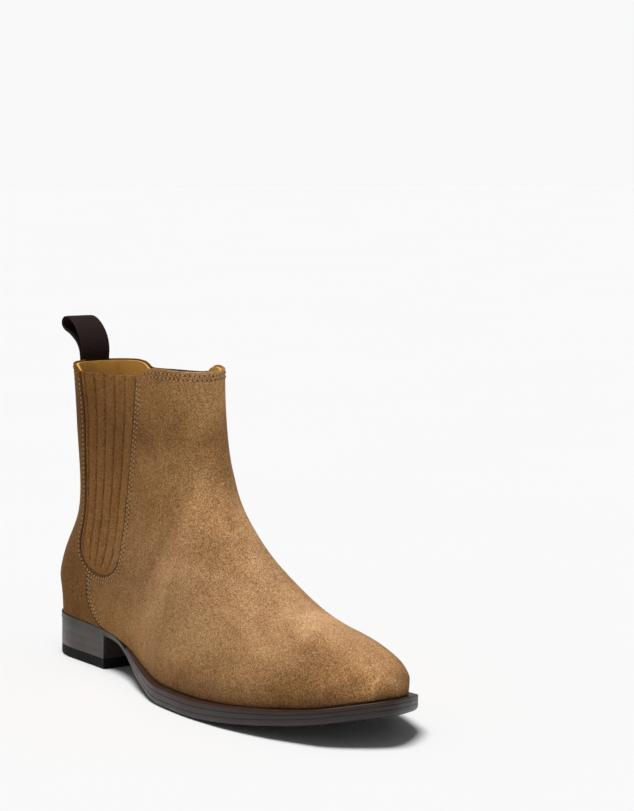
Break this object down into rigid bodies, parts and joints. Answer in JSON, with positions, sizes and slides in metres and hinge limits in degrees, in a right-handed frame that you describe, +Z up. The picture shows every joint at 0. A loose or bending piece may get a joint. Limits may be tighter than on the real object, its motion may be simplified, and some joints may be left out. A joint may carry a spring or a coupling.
{
  "type": "chelsea boot",
  "caption": "Ankle boot with elastic side panels, a ribbon pull tab, a suede upper, a low stacked heel and a thin leather sole.",
  "frame": {"origin": "middle of the heel's ground face, on the floor", "axes": "+X towards the toe, +Y towards the wearer's inner side of this right boot, +Z up"},
  "size_m": [0.3146, 0.1035, 0.2008],
  "materials": {
    "suede": "napped tan-brown suede, mottled, very matte",
    "lining": "smooth golden-tan lining leather, satin",
    "elastic": "black ribbed elastic webbing",
    "ribbon": "dark brown woven ribbon, slight sheen",
    "stiffener": "stiff impregnated fibre sheet, matte",
    "sole_leather": "stained and waxed sole leather edge, satin",
    "welt_leather": "dark reddish-brown welt leather, satin",
    "heel_leather": "stained stacked heel leather, polished satin",
    "rubber": "black moulded rubber, matte",
    "insole_leather": "natural vegetable-tanned board, matte",
    "cork": "granulated cork, matte",
    "foam": "thin latex foam, matte",
    "steel": "plain steel"
  },
  "bodies": {
    "boot": {"vamp": "suede", "back_quarter": "suede", "gusset_cover_lateral": "suede", "gusset_cover_medial": "suede", "gusset_elastic_lateral": "elastic", "gusset_elastic_medial": "elastic", "vamp_lining": "lining", "quarter_lining": "lining", "heel_counter": "stiffener", "toe_puff": "stiffener", "outsole": "sole_leather", "midsole": "sole_leather", "welt": "welt_leather", "cork_filler": "cork", "insole_board": "insole_leather", "sock_liner": "lining", "heel_pad": "foam", "steel_shank": "steel", "heel_nails": "steel", "pull_tab_ends": "ribbon", "heel_top_piece": "rubber", "heel_lift_lower": "heel_leather", "heel_lift_middle": "heel_leather", "heel_lift_upper": "heel_leather"},
    "shaft_front": {"vamp_shaft": "suede", "shaft_lining": "lining"},
    "pull_tab": {"pull_tab_loop": "ribbon"}
  },
  "joints": [
    {"name": "shaft_opening", "type": "hinge", "parent": "boot", "child": "shaft_front", "pos_m": [0.1274, 0, 0.0986], "axis": [0, 1, 0], "range_deg": [0, 10], "stiffness_Nm_per_rad": 4},
    {"name": "pull_tab_tilt", "type": "hinge", "parent": "boot", "child": "pull_tab", "pos_m": [-0.0167, 0, 0.1766], "axis": [0, 1, 0], "range_deg": [-15, 35], "stiffness_Nm_per_rad": 0.02}
  ]
}
